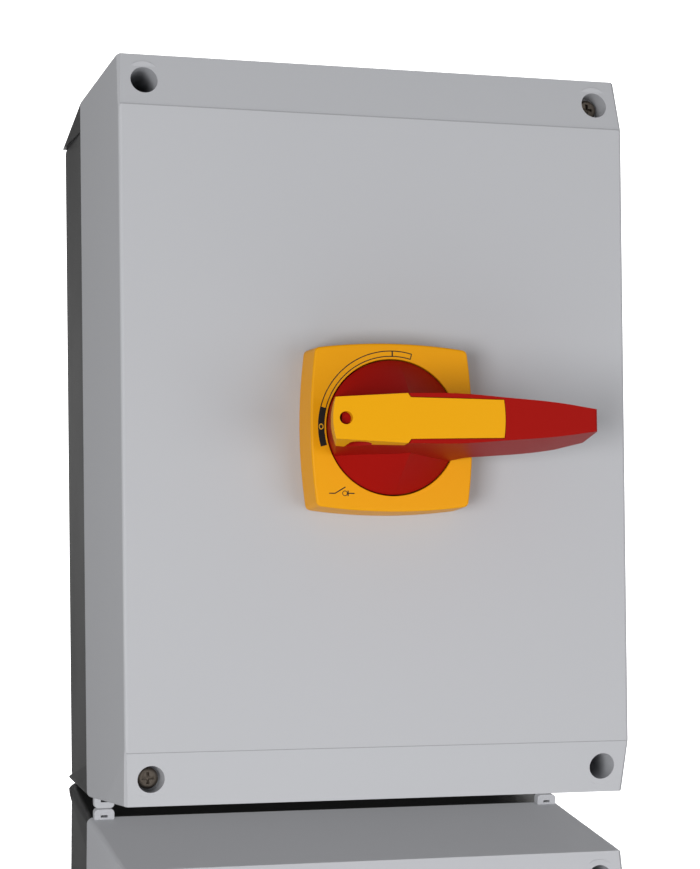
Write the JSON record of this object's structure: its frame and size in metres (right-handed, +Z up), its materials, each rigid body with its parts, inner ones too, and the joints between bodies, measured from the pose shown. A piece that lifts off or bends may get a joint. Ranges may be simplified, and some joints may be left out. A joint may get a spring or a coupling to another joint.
{
  "type": "rotary isolator switch",
  "caption": "Wall-mounted rotary isolator: grey cover on a black base, red lever handle with a yellow padlock slide on a square yellow plate, and a switch inside.",
  "frame": {"origin": "centre of the enclosure's back, on the wall plane", "axes": "+Z up, -Y is the front, +X to the right of someone who faces the switch"},
  "size_m": [0.2, 0.2124, 0.284],
  "materials": {
    "base_black": "black moulded glass-filled plastic, fine texture",
    "cover_grey": "light grey moulded plastic, fine spark texture",
    "plate_yellow": "yellow moulded plastic, satin",
    "slide_yellow": "yellow moulded plastic, satin",
    "handle_red": "red moulded plastic, satin",
    "rubber": "black seal rubber",
    "steel": "zinc-plated steel",
    "spring_steel": "bright spring steel",
    "zinc_plate": "zinc-plated sheet steel",
    "brass": "plain brass",
    "copper": "bare copper",
    "bush_white": "natural acetal",
    "driver_black": "black polyamide",
    "chamber_grey": "dark grey thermoset moulding",
    "rotor_black": "black thermoset moulding",
    "lid_black": "black thermoset moulding",
    "block_blue": "light blue polyamide",
    "block_green": "green polyamide"
  },
  "bodies": {
    "base": {"base_shell": "base_black", "wall_washers": "rubber", "screw_inserts": "brass", "mounting_plate": "zinc_plate", "mounting_plate_screws": "steel", "rear_block": "chamber_grey", "contact_chamber_1": "chamber_grey", "contact_chamber_2": "chamber_grey", "contact_chamber_3": "chamber_grey", "line_contacts": "copper", "load_contacts": "copper", "line_clamps": "zinc_plate", "load_clamps": "zinc_plate", "line_terminal_screws": "steel", "load_terminal_screws": "steel", "mechanism_housing": "chamber_grey", "detent_plungers": "bush_white", "detent_springs": "spring_steel", "switch_lid": "lid_black", "through_bolts": "steel", "neutral_block": "block_blue", "neutral_bar": "brass", "neutral_screws": "steel", "earth_block": "block_green", "earth_bar": "brass", "earth_screws": "steel", "terminal_block_screws": "steel"},
    "cover": {"cover_shell": "cover_grey", "cover_seal": "rubber", "tall_cover_screws": "steel", "deep_cover_screws": "steel", "front_plate": "plate_yellow", "plate_seal": "rubber", "plate_screws": "steel", "bearing_bush": "bush_white"},
    "handle": {"handle_body": "handle_red", "detent_clip": "spring_steel", "spindle_seal": "rubber", "thrust_washer": "steel", "shaft_driver": "driver_black", "driver_screws": "steel"},
    "slide": {"padlock_slide": "slide_yellow"},
    "shaft": {"stub_shaft": "zinc_plate", "extension_shaft": "zinc_plate", "shaft_coupling": "driver_black", "coupling_screws": "steel", "rotor_1": "rotor_black", "rotor_2": "rotor_black", "rotor_3": "rotor_black", "bridge_contacts": "copper", "index_cam": "bush_white"}
  },
  "joints": [
    {"name": "cover_lift", "type": "slide", "parent": "base", "child": "cover", "axis": [0, -1, 0], "range_m": [0, 0.15]},
    {"name": "handle_turn", "type": "hinge", "parent": "cover", "child": "handle", "pos_m": [0, -0.16, 0], "axis": [0, 1, 0], "range_deg": [0, 90]},
    {"name": "padlock_slide_out", "type": "slide", "parent": "handle", "child": "slide", "axis": [-1, 0, 0], "range_m": [0, 0.01]},
    {"name": "shaft_turn", "type": "hinge", "parent": "base", "child": "shaft", "pos_m": [0, -0.06, 0], "axis": [0, 1, 0], "range_deg": [0, 90]}
  ],
  "couplings": [
    {"joint": "shaft_turn", "follows": "handle_turn", "ratio": 1}
  ]
}
